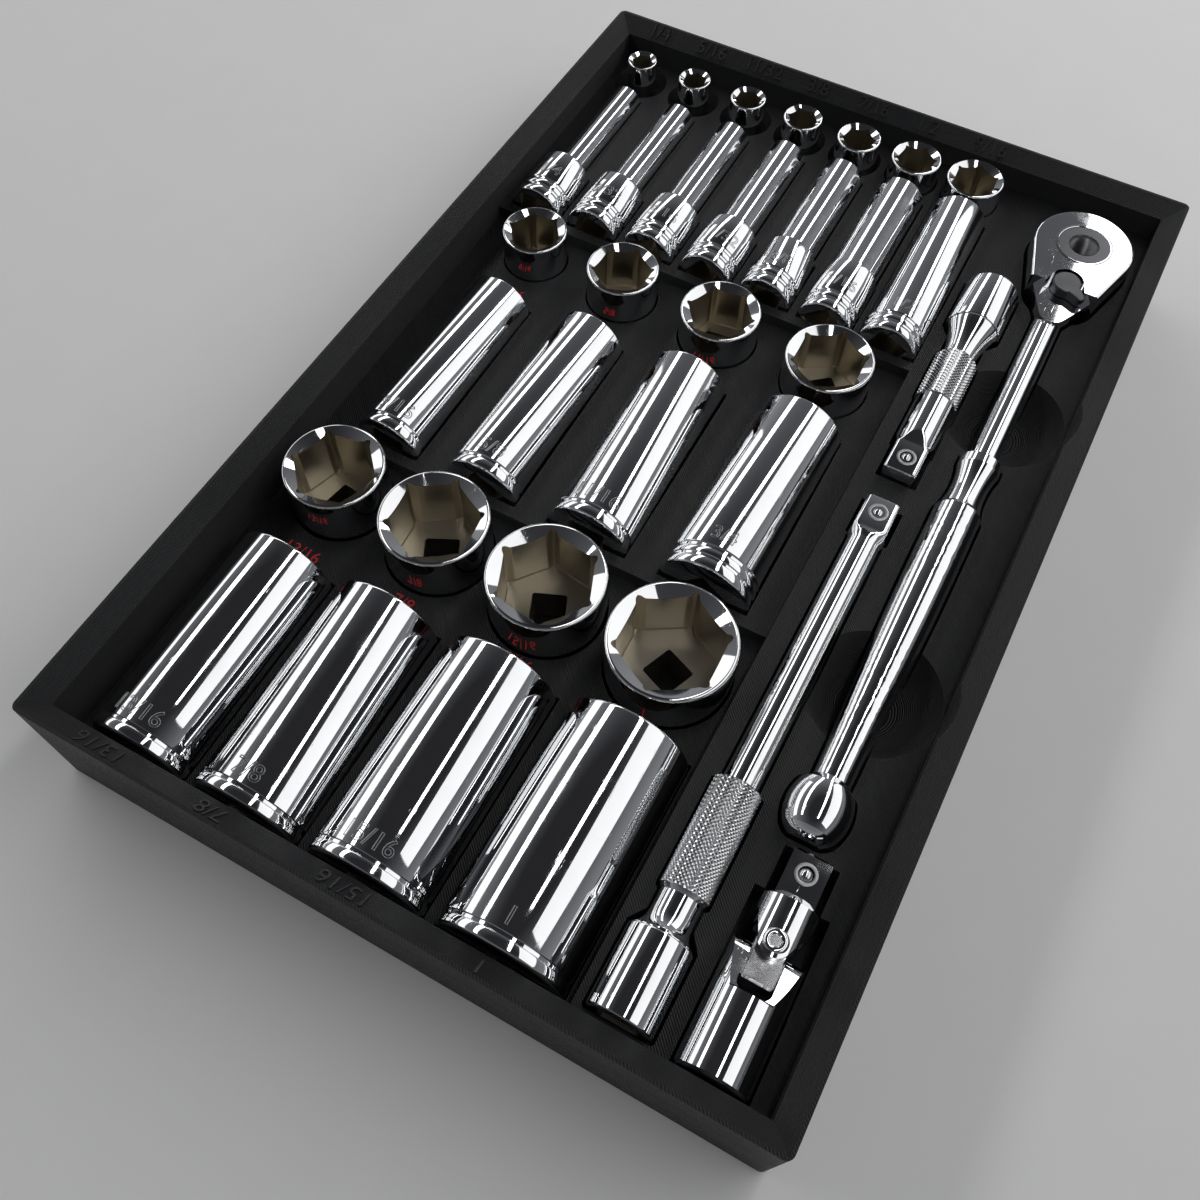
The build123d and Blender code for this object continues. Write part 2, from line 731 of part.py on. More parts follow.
with BuildPart() as pawl:
    with BuildSketch(head_floor.offset(pawl_bottom)):
        with Locations((0, -lever_from_centre)):
            Circle(pawl_radius)
            Circle(lever_stem_radius + running_gap, mode=Mode.SUBTRACT)
        Circle(gear_outer_radius + pawl_tooth_gap, mode=Mode.SUBTRACT)
    extrude(amount=pawl_top - pawl_bottom)
save(pawl, "pawl")

lever_seat = upright(ratchet_x, head_y - lever_from_centre, head_bottom_z).rotated((0, 0, lever_turn))
lever_bottom = notch_floor + 0.1
lever_top = head_thickness - 0.3
with BuildPart() as lever:
    with BuildSketch(lever_seat.offset(lever_bottom)):
        Circle(lever_disc_radius)
    extrude(amount=lever_top - lever_bottom)
    with BuildSketch(lever_seat.offset(root_top_z - head_bottom_z + 0.25)):
        Circle(lever_disc_radius * 0.7)
        with Locations((lever_tab_length - lever_tab_radius, 0)):
            Circle(lever_tab_radius)
        make_hull()
    extrude(amount=lever_top - (root_top_z - head_bottom_z + 0.25))
    fillet(lever.faces().sort_by(Axis.Z)[-1].edges(), 0.6)
    with BuildSketch(lever_seat.offset(pawl_bottom)):
        Circle(lever_stem_radius)
    extrude(amount=lever_bottom - pawl_bottom)
save(lever, "reverse_lever")

button_seat = head_floor.offset(head_thickness - button_recess + button_spring_height)
dome_radius = (button_radius**2 + button_dome**2) / (2 * button_dome)
stem_reach = male_square_length + head_thickness - button_recess + button_spring_height
stem_length = stem_reach - detent_ball_from_end - button_tip_above_ball
with BuildPart() as button:
    with BuildSketch(section_plane(button_seat)):
        with BuildLine():
            cap_top = button_recess - button_spring_height
            base = Line((0, -stem_length), (button_stem_radius, -stem_length))
            stem = Line(base @ 1, (button_stem_radius, 0))
            shelf = Line(stem @ 1, (button_radius, 0))
            side = Line(shelf @ 1, (button_radius, cap_top))
            dome = RadiusArc(side @ 1, (0, cap_top + button_dome), -dome_radius)
            Line(dome @ 1, (0, -stem_length))
        make_face()
    revolve(axis=axis_of(button_seat))
save(button, "release_button")
spring_seat = head_floor.offset(head_thickness - button_recess)
save(spring_coil(spring_seat, button_radius - 0.3, button_spring_height - 0.05), "button_spring")
anvil_ball_reach = male_square / 2 - detent_ball_radius + detent_ball_proud
anvil_ball_z = head_bottom_z - male_square_length + detent_ball_from_end
anvil_ball_seat = lying(ratchet_x, head_y + anvil_ball_reach, anvil_ball_z)
save(ball(anvil_ball_seat, detent_ball_radius), "anvil_ball")

# ---------------------------------------------------------------- tray
scoop_radius = (scoop_radius_on_deck**2 + scoop_depth**2) / (2 * scoop_depth)
extension_floor_z = tool_axis_z - female_radius - recess_gap
joint_floor_z = tool_axis_z - barrel_radius - recess_gap
handle_floor_z = tool_axis_z - grip_ball_radius - recess_gap
head_floor_z = head_bottom_z - recess_gap
anvil_floor_z = head_bottom_z - male_square_length - recess_gap
clear_above = tray_height + 1


def cut_from(z):
    """Cut the open sketch, drawn at height z, upward out of the tray."""
    extrude(amount=clear_above - z, mode=Mode.SUBTRACT)


with BuildPart() as tray:
    with BuildSketch():
        RectangleRounded(tray_width, tray_length, tray_corner_radius)
    extrude(amount=tray_height)
    chamfer(tray.faces().sort_by(Axis.Z)[0].edges(), base_edge_chamfer)
    # rim sloping inward and down
    with BuildSketch(Plane.XY.offset(rim_inner_z)):
        Rectangle(inner_width, inner_length)
    with BuildSketch(Plane.XY.offset(tray_height)):
        Rectangle(tray_width - 2 * rim_lip_width, tray_length - 2 * rim_lip_width)
    loft(mode=Mode.SUBTRACT)
    # three decks for the sockets, rising away from the near wall, and the deck for the drive tools
    for deck_z, start_y, end_y in (
        (near_deck_z, near_wall_y, first_step_y),
        (middle_deck_z, first_step_y, second_step_y),
        (far_deck_z, second_step_y, far_wall_y),
    ):
        corner = tray_place(rim_width, start_y, deck_z)
        with BuildSketch(Plane.XY.offset(deck_z)):
            with Locations((corner.X, corner.Y)):
                Rectangle(socket_field_width, end_y - start_y, align=Align.MIN)
        extrude(amount=rim_inner_z - deck_z, mode=Mode.SUBTRACT)
    tool_corner = tray_place(field_right_x, near_wall_y, tool_axis_z)
    with BuildSketch(Plane.XY.offset(tool_axis_z)):
        with Locations((tool_corner.X, tool_corner.Y)):
            Rectangle(inner_width - socket_field_width, inner_length, align=Align.MIN)
    extrude(amount=rim_inner_z - tool_axis_z, mode=Mode.SUBTRACT)
    # upright recesses and lying troughs for the sockets
    for spec in sockets:
        seat = spec["seat"]
        if spec["deep"]:
            with BuildSketch(section_plane(seat)):
                with BuildLine():
                    Polyline(*socket_outline(spec, trough_gap, trough_end_gap, grooved=False), close=True)
                make_face()
            revolve(axis=axis_of(seat), mode=Mode.SUBTRACT)
        else:
            with BuildSketch(seat):
                Circle(spec["drive_diameter"] / 2 + recess_gap)
            extrude(amount=clear_above, mode=Mode.SUBTRACT)
    # straight-walled pockets for the extensions
    for seat, shape in ((long_seat, long_shape), (short_seat, short_shape)):
        half = extension_outline(**shape, gap=tool_pocket_gap)[1:-1]
        flat = Plane(origin=seat.origin + Vector(0, 0, -female_radius - recess_gap),
                     x_dir=(seat.z_dir.Y, 0, 0), z_dir=(0, 0, 1))
        right = [(x, y) for x, y in half]
        left = [(-x, y) for x, y in reversed(half)]
        with BuildSketch(flat):
            with BuildLine():
                Polyline(*right, *left, close=True)
            make_face()
            with Locations((0, male_square_length / 2)):
                Rectangle(male_square + 4 * tool_pocket_gap, male_square_length + 2 * tool_pocket_gap)
        cut_from(extension_floor_z)
    # pocket for the universal joint: barrel, wide middle, narrow end
    joint_flat = upright(joint_x, joint_y, joint_floor_z)
    yoke_pocket_half = yoke_radius + joint_swing_room
    with BuildSketch(joint_flat):
        with Locations((0, joint_slot_floor / 2)):
            Rectangle(2 * (barrel_radius + tool_pocket_gap), joint_slot_floor + 2 * tool_pocket_gap)
        with Locations((0, (joint_slot_floor + joint_length - male_square_length) / 2)):
            Rectangle(2 * yoke_pocket_half, joint_length - male_square_length - joint_slot_floor)
        with Locations((0, joint_length - male_square_length / 2)):
            Rectangle(male_square + 2 * joint_swing_room, male_square_length + 2 * tool_pocket_gap)
    cut_from(joint_floor_z)
    # pocket for the ratchet: handle, head and a well for the square
    handle_base = tray_place(ratchet_x, head_y, handle_floor_z)
    handle_flat = Plane(origin=handle_base, x_dir=(-1, 0, 0), z_dir=(0, 0, 1))
    with BuildSketch(handle_flat):
        with BuildLine():
            handle_outline(tool_pocket_gap)
        make_face()
        mirror(about=Plane.YZ)
    cut_from(handle_floor_z)
    with BuildSketch(upright(ratchet_x, head_y, head_floor_z)):
        teardrop(head_radius + tool_pocket_gap, head_waist_radius + tool_pocket_gap, head_waist_from_centre)
    with BuildSketch(upright(ratchet_x, head_y, head_floor_z)):
        with Locations((0, -head_waist_from_centre)):
            Circle(root_radius + tool_pocket_gap)
        with Locations((0, -root_end_from_centre)):
            Circle(neck_radius + tool_pocket_gap)
        make_hull()
    cut_from(head_floor_z)
    with BuildSketch(upright(ratchet_x, head_y, anvil_floor_z)):
        Circle(male_square / sqrt(2) + 2 * tool_pocket_gap)
    cut_from(anvil_floor_z)
    # round scoops that let fingers under the handle
    for from_head in (neck_scoop_from_head, grip_scoop_from_head):
        centre = tray_place(ratchet_x, head_y - from_head, tool_axis_z + scoop_radius - scoop_depth)
        with BuildSketch(Plane(origin=centre, x_dir=(1, 0, 0), z_dir=(0, 1, 0))):
            with BuildLine():
                CenterArc((0, 0), scoop_radius, -90, 180)
                Line((0, scoop_radius), (0, -scoop_radius))
            make_face()
        revolve(axis=Axis(centre, (0, 0, 1)), mode=Mode.SUBTRACT)
save(tray, "tray")
print("nodes", len(os.listdir("parts")))
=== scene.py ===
"""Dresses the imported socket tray: plated sockets and drive tools, printed black plastic, marks and light."""

from math import atan, cos, pi, radians, sin

import bmesh
import bpy
from mathutils import Matrix, Vector


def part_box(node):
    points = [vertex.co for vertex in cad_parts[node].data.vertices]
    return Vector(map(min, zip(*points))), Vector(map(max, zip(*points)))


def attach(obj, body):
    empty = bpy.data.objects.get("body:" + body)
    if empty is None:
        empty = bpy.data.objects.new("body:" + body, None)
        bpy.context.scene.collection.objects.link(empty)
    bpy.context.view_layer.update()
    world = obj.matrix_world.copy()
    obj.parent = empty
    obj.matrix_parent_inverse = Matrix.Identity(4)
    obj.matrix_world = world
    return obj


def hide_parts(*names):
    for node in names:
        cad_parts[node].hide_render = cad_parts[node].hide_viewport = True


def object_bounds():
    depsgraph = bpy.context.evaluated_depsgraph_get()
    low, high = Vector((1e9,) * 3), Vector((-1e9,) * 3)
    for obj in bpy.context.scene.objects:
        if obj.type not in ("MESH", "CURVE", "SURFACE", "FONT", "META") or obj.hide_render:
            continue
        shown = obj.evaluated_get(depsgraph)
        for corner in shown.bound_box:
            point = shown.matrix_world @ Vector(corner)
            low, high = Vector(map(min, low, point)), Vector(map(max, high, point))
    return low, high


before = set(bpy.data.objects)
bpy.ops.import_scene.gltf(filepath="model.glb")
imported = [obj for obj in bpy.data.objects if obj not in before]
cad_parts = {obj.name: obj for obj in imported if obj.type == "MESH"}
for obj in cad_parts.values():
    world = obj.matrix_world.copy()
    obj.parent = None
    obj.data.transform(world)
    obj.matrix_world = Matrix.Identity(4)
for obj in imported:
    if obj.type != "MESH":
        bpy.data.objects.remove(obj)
cad_box = [list(corner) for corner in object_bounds()]

MM = 0.001
INCH = 25.4  # millimetres
KNURL_DEPTH = 0.30  # millimetres from a crest to a valley
PLATE, SATIN = 0, 1  # finish numbers of a plated piece: outside and inside


def axes_matrix(x_dir, y_dir, z_dir):
    """A turn that takes the three axes to three directions."""
    return Matrix((x_dir, y_dir, z_dir)).transposed().to_4x4()


# ---------------------------------------------------------------- camera, as solved from the photograph
camera_place = Vector((0.071489, -0.183513, 0.284218))
camera_right = Vector((0.87745, 0.47954, 0.01095))
camera_up = Vector((-0.42215, 0.76121, 0.49228))
camera_back = Vector((0.22773, -0.43658, 0.87037))
camera_lens = 34.244
sensor_width = 36.0

camera_data = bpy.data.cameras.new("view")
camera_data.lens = camera_lens
camera_data.sensor_width = sensor_width
camera_data.clip_start = 0.01
camera = bpy.data.objects.new("view", camera_data)
camera.matrix_world = Matrix.Translation(camera_place) @ axes_matrix(camera_right, camera_up, camera_back)
bpy.context.scene.collection.objects.link(camera)
bpy.context.scene.camera = camera


# ---------------------------------------------------------------- node helpers
def group_sockets(group, inputs, outputs):
    """Named inputs and outputs of a node group, with the inputs' starting values."""
    for name, kind, value in inputs:
        item = group.interface.new_socket(name, in_out="INPUT", socket_type=kind)
        if value is not None:
            item.default_value = value
    for name, kind in outputs:
        group.interface.new_socket(name, in_out="OUTPUT", socket_type=kind)
    return group.nodes.new("NodeGroupInput"), group.nodes.new("NodeGroupOutput")


def maths(tree, operation, first, second=None):
    """One step of arithmetic on links or plain numbers."""
    node = tree.nodes.new("ShaderNodeMath")
    node.operation = operation
    for place, value in enumerate((first, second)):
        if value is None:
            continue
        if isinstance(value, (int, float)):
            node.inputs[place].default_value = value
        else:
            tree.links.new(value, node.inputs[place])
    return node.outputs[0]


def noise(tree, vector, scale, detail=3.0, roughness=0.5):
    """Cloudy noise from 0 to 1."""
    node = tree.nodes.new("ShaderNodeTexNoise")
    node.inputs["Scale"].default_value = scale
    node.inputs["Detail"].default_value = detail
    node.inputs["Roughness"].default_value = roughness
    tree.links.new(vector, node.inputs["Vector"])
    return node.outputs["Fac"]


def ranged(tree, value, low, high, new_low, new_high):
    """A value carried from one range to another and kept inside it."""
    node = tree.nodes.new("ShaderNodeMapRange")
    node.inputs["From Min"].default_value = low
    node.inputs["From Max"].default_value = high
    node.inputs["To Min"].default_value = new_low
    node.inputs["To Max"].default_value = new_high
    tree.links.new(value, node.inputs["Value"])
    return node.outputs["Result"]


def mixed(tree, amount, first, second):
    """A colour between two colours."""
    node = tree.nodes.new("ShaderNodeMix")
    node.data_type = "RGBA"
    for name, value in (("Factor", amount), ("A", first), ("B", second)):
        socket = [s for s in node.inputs if s.name == name and s.enabled][0]
        if isinstance(value, (int, float, tuple)):
            socket.default_value = value
        else:
            tree.links.new(value, socket)
    return [s for s in node.outputs if s.enabled][0]


def object_place(tree):
    """The place on the piece in its own frame, in metres."""
    return tree.nodes.new("ShaderNodeTexCoord").outputs["Object"]


def make_handled_wear():
    """Smudges, fine random scratches and a little dust on plated metal."""
    group = bpy.data.node_groups.new("handled_wear", "ShaderNodeTree")
    given, made = group_sockets(
        group,
        [("Place", "NodeSocketVector", None), ("Smudge", "NodeSocketFloat", 0.05),
         ("Base roughness", "NodeSocketFloat", 0.04), ("Scratch", "NodeSocketFloat", 0.1)],
        [("Roughness", "NodeSocketFloat"), ("Height", "NodeSocketFloat"), ("Tarnish", "NodeSocketFloat")],
    )
    place = given.outputs["Place"]
    smudges = noise(group, place, 90.0, 5.0, 0.62)
    smear = ranged(group, smudges, 0.48, 0.72, 0.0, 1.0)
    stretched = group.nodes.new("ShaderNodeMapping")
    stretched.inputs["Scale"].default_value = (1.0, 0.06, 1.0)
    stretched.inputs["Rotation"].default_value = (0.3, 0.2, 0.5)
    group.links.new(place, stretched.inputs["Vector"])
    lines = noise(group, stretched.outputs["Vector"], 2600.0, 2.0, 0.5)
    scratch = ranged(group, lines, 0.66, 0.74, 0.0, 1.0)
    patches = ranged(group, noise(group, place, 160.0), 0.45, 0.7, 0.0, 1.0)
    scratch = maths(group, "MULTIPLY", scratch, patches)
    smeared = maths(group, "MULTIPLY", smear, given.outputs["Smudge"])
    scratched = maths(group, "MULTIPLY", scratch, given.outputs["Scratch"])
    total = maths(group, "ADD", maths(group, "ADD", smeared, scratched), given.outputs["Base roughness"])
    group.links.new(total, made.inputs["Roughness"])
    group.links.new(maths(group, "MULTIPLY", scratch, -1.0), made.inputs["Height"])
    group.links.new(smear, made.inputs["Tarnish"])
    return group


def make_print_lines():
    """Fine parallel lines left by a print head, across one direction in space."""
    group = bpy.data.node_groups.new("print_lines", "ShaderNodeTree")
    given, made = group_sockets(
        group,
        [("Place", "NodeSocketVector", None), ("Across", "NodeSocketVector", (0.0, 0.0, 1.0)),
         ("Pitch", "NodeSocketFloat", 0.0002), ("Unevenness", "NodeSocketFloat", 0.25)],
        [("Height", "NodeSocketFloat"), ("Line", "NodeSocketFloat")],
    )
    along = group.nodes.new("ShaderNodeVectorMath")
    along.operation = "DOT_PRODUCT"
    group.links.new(given.outputs["Place"], along.inputs[0])
    group.links.new(given.outputs["Across"], along.inputs[1])
    counted = maths(group, "DIVIDE", along.outputs["Value"], given.outputs["Pitch"])
    wander = noise(group, given.outputs["Place"], 700.0, 2.0)
    counted = maths(group, "ADD", counted, maths(group, "MULTIPLY", wander, given.outputs["Unevenness"]))
    swing = maths(group, "SINE", maths(group, "MULTIPLY", counted, 2 * pi))
    whole = maths(group, "FLOOR", counted)
    white = group.nodes.new("ShaderNodeTexWhiteNoise")
    white.noise_dimensions = "1D"
    group.links.new(whole, white.inputs["W"])
    group.links.new(maths(group, "MULTIPLY", swing, 0.5), made.inputs["Height"])
    group.links.new(white.outputs["Value"], made.inputs["Line"])
    return group


handled_wear = make_handled_wear()
print_lines = make_print_lines()


def placed_group(tree, group, place, **values):
    """A node group fed with a place; an underscore in a value's name stands for a space."""
    node = tree.nodes.new("ShaderNodeGroup")
    node.node_tree = group
    tree.links.new(place, node.inputs["Place"])
    for name, value in values.items():
        node.inputs[name.replace("_", " ")].default_value = value
    return node


def new_finish(name):
    """An empty material with its node tree and shader."""
    material = bpy.data.materials.new(name)
    material.use_nodes = True
    tree = material.node_tree
    shader = tree.nodes["Principled BSDF"]
    return material, tree, shader


def bumped(tree, shader, height, distance, strength=1.0):
    """Feeds a height through a bump into the shader's normal."""
    node = tree.nodes.new("ShaderNodeBump")
    node.inputs["Distance"].default_value = distance
    node.inputs["Strength"].default_value = strength
    tree.links.new(height, node.inputs["Height"])
    tree.links.new(node.outputs["Normal"], shader.inputs["Normal"])


# ---------------------------------------------------------------- finishes
TARNISH = 0.35  # largest share of the tarnish colour
SCRATCH_BUMP = 0.000004  # metres


def plated_finish(name, colour, base, smudge, scratch, tarnish_colour):
    """Metal with smears, hair scratches and a darker tone where handled; base is its roughness when clean."""
    material, tree, shader = new_finish(name)
    shader.inputs["Metallic"].default_value = 1.0
    place = object_place(tree)
    wear = placed_group(tree, handled_wear, place, Base_roughness=base, Smudge=smudge, Scratch=scratch)
    tint = mixed(tree, maths(tree, "MULTIPLY", wear.outputs["Tarnish"], TARNISH), colour, tarnish_colour)
    tree.links.new(tint, shader.inputs["Base Color"])
    tree.links.new(wear.outputs["Roughness"], shader.inputs["Roughness"])
    bumped(tree, shader, wear.outputs["Height"], SCRATCH_BUMP)
    return material


chrome = plated_finish(
    "polished_chrome", (0.80, 0.81, 0.82, 1), base=0.035, smudge=0.07, scratch=0.14,
    tarnish_colour=(0.70, 0.71, 0.73, 1))
satin_nickel = plated_finish(
    "satin_nickel", (0.52, 0.48, 0.40, 1), base=0.30, smudge=0.10, scratch=0.05,
    tarnish_colour=(0.44, 0.40, 0.33, 1))
bright_steel = plated_finish(
    "bright_steel", (0.62, 0.62, 0.63, 1), base=0.16, smudge=0.12, scratch=0.12,
    tarnish_colour=(0.50, 0.49, 0.48, 1))
dark_oxide = plated_finish(
    "dark_oxide", (0.075, 0.076, 0.08, 1), base=0.30, smudge=0.14, scratch=0.10,
    tarnish_colour=(0.11, 0.11, 0.11, 1))
spring_steel = plated_finish(
    "spring_steel", (0.42, 0.42, 0.44, 1), base=0.25, smudge=0.08, scratch=0.05,
    tarnish_colour=(0.30, 0.30, 0.31, 1))
knurled_chrome = plated_finish(
    "knurled_chrome", (0.74, 0.75, 0.76, 1), base=0.16, smudge=0.10, scratch=0.10,
    tarnish_colour=(0.62, 0.62, 0.63, 1))
stamped = plated_finish(
    "stamped_mark", (0.40, 0.41, 0.42, 1), base=0.40, smudge=0.10, scratch=0.05,
    tarnish_colour=(0.32, 0.32, 0.33, 1))

LAYER_PITCH = 0.00028  # metres between the level lines on walls and slopes
FILL_PITCH = 0.0006  # metres between the slanting lines on flats
MARK_PITCH = 0.00045  # the same on the number marks
DIAGONAL = 0.7071


def printed_plastic():
    """Black printed plastic: level lines round the walls and slopes, slanting fill lines on the flats."""
    material, tree, shader = new_finish("printed_black_plastic")
    place = object_place(tree)
    normal = tree.nodes.new("ShaderNodeNewGeometry").outputs["Normal"]
    split = tree.nodes.new("ShaderNodeSeparateXYZ")
    tree.links.new(normal, split.inputs[0])
    flatness = ranged(tree, maths(tree, "ABSOLUTE", split.outputs["Z"]), 0.94, 0.985, 0.0, 1.0)
    layer_way, fill_way = (0.0, 0.0, 1.0), (DIAGONAL, DIAGONAL, 0.0)
    layers = placed_group(tree, print_lines, place, Across=layer_way, Pitch=LAYER_PITCH, Unevenness=0.10)
    fill = placed_group(tree, print_lines, place, Across=fill_way, Pitch=FILL_PITCH, Unevenness=0.35)
    height = tree.nodes.new("ShaderNodeMix")
    height.data_type = "FLOAT"
    tree.links.new(flatness, height.inputs[0])
    tree.links.new(layers.outputs["Height"], height.inputs[2])
    tree.links.new(maths(tree, "MULTIPLY", fill.outputs["Height"], 0.8), height.inputs[3])
    bumped(tree, shader, height.outputs[0], 0.00015, 0.9)
    lines = tree.nodes.new("ShaderNodeMix")
    lines.data_type = "FLOAT"
    tree.links.new(flatness, lines.inputs[0])
    tree.links.new(layers.outputs["Line"], lines.inputs[2])
    tree.links.new(fill.outputs["Line"], lines.inputs[3])
    clouds = noise(tree, place, 40.0, 4.0, 0.6)
    line_share = maths(tree, "MULTIPLY", lines.outputs[0], 0.45)
    shade = maths(tree, "ADD", line_share, maths(tree, "MULTIPLY", clouds, 0.55))
    tint = mixed(tree, shade, (0.0045, 0.005, 0.006, 1), (0.013, 0.0135, 0.015, 1))
    shader.inputs["Specular IOR Level"].default_value = 0.32
    tree.links.new(tint, shader.inputs["Base Color"])
    tree.links.new(ranged(tree, shade, 0.2, 0.8, 0.36, 0.52), shader.inputs["Roughness"])
    return material


def inlay_plastic(name, low, high):
    """Printed plastic for the number marks, between two colours."""
    material, tree, shader = new_finish(name)
    place = object_place(tree)
    fill_way = (DIAGONAL, -DIAGONAL, 0.0)
    fill = placed_group(tree, print_lines, place, Across=fill_way, Pitch=MARK_PITCH, Unevenness=0.3)
    tree.links.new(mixed(tree, noise(tree, place, 900.0), low, high), shader.inputs["Base Color"])
    shader.inputs["Roughness"].default_value = 0.38
    bumped(tree, shader, fill.outputs["Height"], 0.00006, 0.6)
    return material


black_plastic = printed_plastic()
red_inlay = inlay_plastic("red_inlay", (0.50, 0.012, 0.014, 1), (0.75, 0.03, 0.03, 1))
black_mark = inlay_plastic("black_mark", (0.004, 0.004, 0.005, 1), (0.010, 0.010, 0.011, 1))


# ---------------------------------------------------------------- mesh helpers
def seat_matrix(origin, x_dir, z_dir):
    """Places a piece drawn in millimetres about its own axis into the object's frame, in metres."""
    x_dir, z_dir = Vector(x_dir), Vector(z_dir)
    turned = axes_matrix(x_dir, z_dir.cross(x_dir), z_dir)
    return Matrix.Translation(Vector(origin)) @ turned @ Matrix.Scale(MM, 4)


RELIEF_ANGLE = radians(3.2)  # half the width of the relief cut in each corner of a hexagon
RELIEF_DEPTH = 0.05  # share of the hexagon's size
SQUARE_CORNER = 1.34  # distance of a drive square's blunted corner, in half widths
CLOSE = 1e-5  # millimetres below which two points are one


def outline_radius(shape, size, angle, number=0):
    """Distance from the axis to a round, hexagonal or square outline, at an angle counted from a corner.

    Milled is a round bar with four flats: its size is the flats' distance from the axis and the bar's radius.
    Knurled alternates between crests and valleys from one point of the ring to the next."""
    if shape == "round":
        return size
    if shape.startswith("knurled"):
        return size - (KNURL_DEPTH if (number + len(shape)) % 2 else 0.0)
    if shape == "milled":
        return min(size[0] / cos(angle % (pi / 2) - pi / 4), size[1])
    corners = 6 if shape.startswith("hex") else 4
    step = 2 * pi / corners
    from_corner = angle % step
    radius = size / cos(from_corner - step / 2)
    nearest = min(from_corner, step - from_corner)
    if shape == "hex" and nearest < RELIEF_ANGLE:
        radius += size * RELIEF_DEPTH
    if shape == "square":
        radius = min(radius, size * SQUARE_CORNER)
    return radius


def drawn_shell(name, rings, finishes, seat, sides=120, sharp=32.0, through=True):
    """A closed shell drawn ring by ring, and back to the first ring where the piece is hollow right through.

    A ring is (outline, size, height, turn in degrees, finish number). The finish is that of the band which ends
    at the ring, and a height may be a function of the radius."""
    bm = bmesh.new()
    order = bm.verts.layers.int.new("order")
    loop = bmesh.ops.create_circle(bm, segments=sides, radius=1.0)["verts"]
    for number, vert in enumerate(loop):
        vert[order] = number
    edges = list(bm.edges)
    valleys = []
    for number, (shape, size, height, turn, finish) in enumerate(rings + rings[:1] if through else rings):
        if number:
            made = bmesh.ops.extrude_edge_only(bm, edges=edges)["geom"]
            loop = [item for item in made if isinstance(item, bmesh.types.BMVert)]
            new = set(loop)
            edges = []
            for item in made:
                if isinstance(item, bmesh.types.BMEdge) and new.issuperset(item.verts):
                    edges.append(item)
                if isinstance(item, bmesh.types.BMFace):
                    item.material_index = finish
        for vert in loop:
            angle = 2 * pi * vert[order] / sides
            radius = outline_radius(shape, size, angle, vert[order])
            level = height(radius) if callable(height) else height
            if shape.startswith("knurled") and radius < size:
                valleys.append(vert)
            turned = angle + radians(turn)
            vert.co = (radius * cos(turned), radius * sin(turned), level)
    if valleys:
        bmesh.ops.connect_verts(bm, verts=valleys)
    bmesh.ops.remove_doubles(bm, verts=bm.verts, dist=CLOSE)
    return finished_piece(name, bm, finishes, seat, sharp)


def finished_piece(name, bm, finishes, seat, sharp=32.0):
    """Puts a mesh in its place, points its faces outwards and smooths it up to the sharp angle."""
    bm.transform(seat)
    bmesh.ops.recalc_face_normals(bm, faces=bm.faces)
    mesh = bpy.data.meshes.new(name)
    bm.to_mesh(mesh)
    bm.free()
    for finish in finishes:
        mesh.materials.append(finish)
    mesh.polygons.foreach_set("use_smooth", [True] * len(mesh.polygons))
    mesh.set_sharp_from_angle(angle=radians(sharp))
    piece = bpy.data.objects.new(name, mesh)
    bpy.context.scene.collection.objects.link(piece)
    return piece


def belongs(piece, body, slot_name, *replaced):
    """Makes a piece ride on a body and hides the solids it stands for."""
    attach(piece, body)
    if replaced:
        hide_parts(*replaced)


def rounded(radius, height, edge, quarter, steps=4):
    """Points of a quarter round on a turned profile.

    Quarter 0 runs from a flat top to the side, and quarter 1 from the side to a flat base."""
    points = []
    for step in range(steps + 1):
        angle = pi / 2 * step / steps
        if quarter == 0:
            points.append((radius - edge + edge * sin(angle), height - edge + edge * cos(angle)))
        else:
            points.append((radius - edge + edge * cos(angle), height + edge - edge * sin(angle)))
    return points


# ---------------------------------------------------------------- sockets
# outside radius of the wrench end in millimetres, by size in inches
hex_radius_by_mark = {
    "1_4": 5.0, "9_32": 5.5, "5_16": 6.0, "11_32": 6.5, "3_8": 7.2, "7_16": 8.1, "1_2": 9.1,
    "9_16": 10.0, "5_8": 11.0, "11_16": 12.0, "3_4": 13.0,
    "13_16": 14.0, "7_8": 15.0, "15_16": 16.0, "1": 17.0,
}
# turn in degrees of the hexagon's corners and of the drive square's corners, by size
socket_turns = {
    "1_4": (12, 0), "9_32": (40, 20), "5_16": (28, 65), "11_32": (5, 35), "3_8": (18, 10), "7_16": (20, 50),
    "1_2": (33, 25), "9_16": (6, 10), "5_8": (27, 30), "11_16": (7, 5), "3_4": (31, 40),
    "13_16": (13, 80), "7_8": (34, 27), "15_16": (52, 23), "1": (32, 68),
}
# lengths in millimetres; heights are counted from the drive end
drive_half = 4.8
drive_depth = 11.0
web_top = 12.6
deep_hex_depth = 22.0
deep_shoulder, shallow_shoulder = 21.0, 13.0
smallest_open_web = 14.0  # the drive square runs right through the web from this size up
mouth_slope = 0.62
# (depth, height) of the grooves round the drive end
upper_groove = ((0.0, 7.3), (0.12, 7.1), (0.32, 6.9), (0.32, 6.1), (0.12, 5.9), (0.0, 5.7))
lower_groove = ((0.0, 4.15), (0.12, 3.95), (0.32, 3.8), (0.32, 3.1), (0.12, 2.95), (0.0, 2.75))


def size_of(mark):
    """Millimetres across the flats for a size written as 13_16."""
    parts = [float(part) for part in mark.split("_")]
    return INCH * (parts[0] / parts[1] if len(parts) > 1 else parts[0])


def nearest_turn(turn, wanted, repeat):
    """The turn nearest to the wanted one that looks the same on a shape that repeats."""
    return turn + repeat * round((wanted - turn) / repeat)


